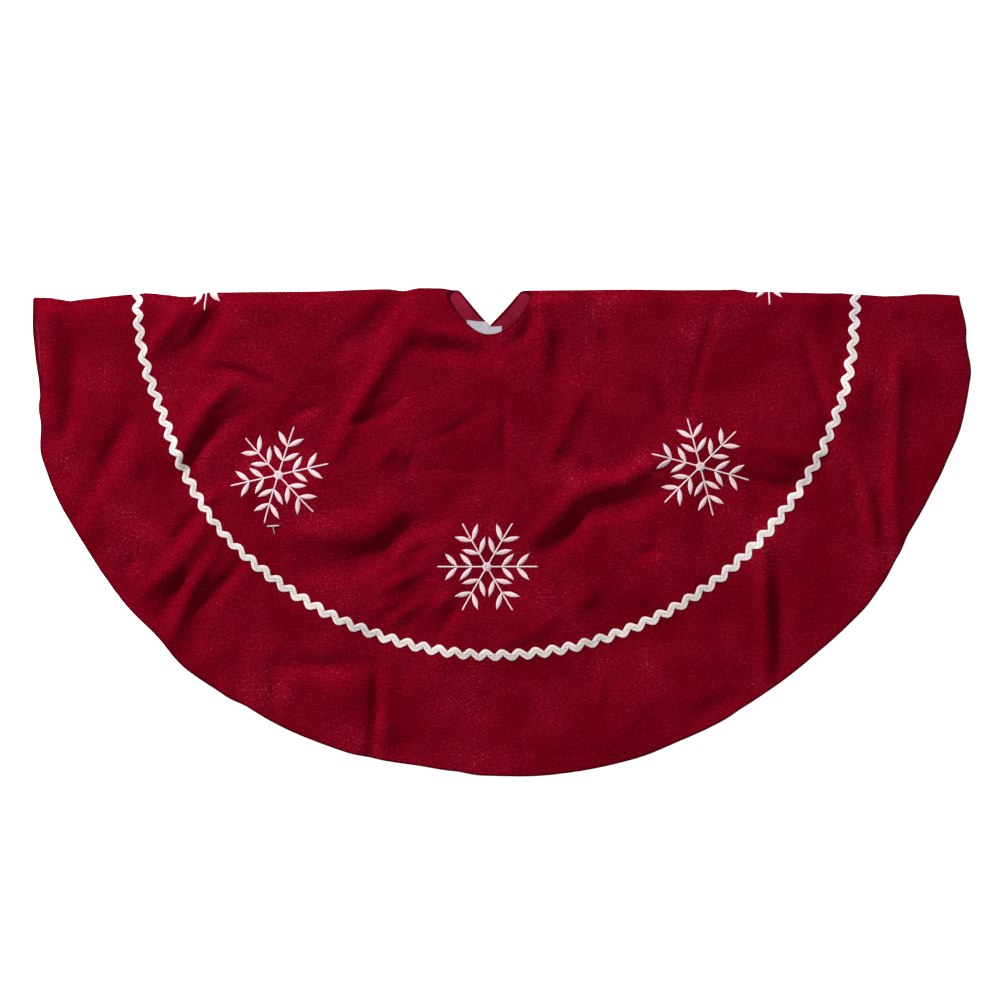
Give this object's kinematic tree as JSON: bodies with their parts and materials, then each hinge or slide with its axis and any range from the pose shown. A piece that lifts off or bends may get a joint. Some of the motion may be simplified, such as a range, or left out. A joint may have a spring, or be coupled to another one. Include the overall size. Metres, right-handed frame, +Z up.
{
  "type": "tree skirt",
  "caption": "Round lined velvet tree skirt with wavy braid and embroidered snowflakes, folded in half along its trunk hole.",
  "frame": {"origin": "centre of the trunk hole, on the fold line, on the surface that the folded skirt lies on", "axes": "+X along the fold, both halves reach towards -Y from the fold, +Z up"},
  "size_m": [0.914, 0.4565, 0.0066],
  "materials": {
    "velvet": "deep red plush velvet, short pile",
    "lining": "crimson satin-weave lining",
    "braid": "off-white woven rickrack",
    "thread": "white sewing thread",
    "embroidery": "white satin-stitch thread",
    "label": "white satin ribbon, blank",
    "clear_nylon": "milky moulded nylon",
    "hook_and_loop": "white hook-and-loop tape"
  },
  "bodies": {
    "front_half": {"front_velvet": "velvet", "front_lining": "lining", "front_rickrack": "braid", "front_rickrack_thread": "thread", "snowflake_front_left": "embroidery", "snowflake_front_centre": "embroidery", "snowflake_front_right": "embroidery", "snowflake_left_tip": "embroidery", "snowflake_right_tip": "embroidery", "care_label": "label", "tag_fastener": "clear_nylon"},
    "back_half": {"back_left_velvet": "velvet", "back_left_lining": "lining", "back_left_rickrack": "braid", "back_left_rickrack_thread": "thread", "snowflake_back_left": "embroidery", "snowflake_left_main": "embroidery", "back_right_velvet": "velvet", "back_right_lining": "lining", "back_right_rickrack": "braid", "back_right_rickrack_thread": "thread", "snowflake_back_right": "embroidery", "snowflake_right_main": "embroidery", "closure_tab_1": "lining", "hook_pad_1": "hook_and_loop", "loop_pad_1": "hook_and_loop", "closure_tab_2": "lining", "hook_pad_2": "hook_and_loop", "loop_pad_2": "hook_and_loop", "closure_tab_3": "lining", "hook_pad_3": "hook_and_loop", "loop_pad_3": "hook_and_loop"}
  },
  "joints": [
    {"name": "fold", "type": "hinge", "parent": "front_half", "child": "back_half", "pos_m": [0, 0, 0.003], "axis": [1, 0, 0], "range_deg": [0, 179.9]}
  ]
}
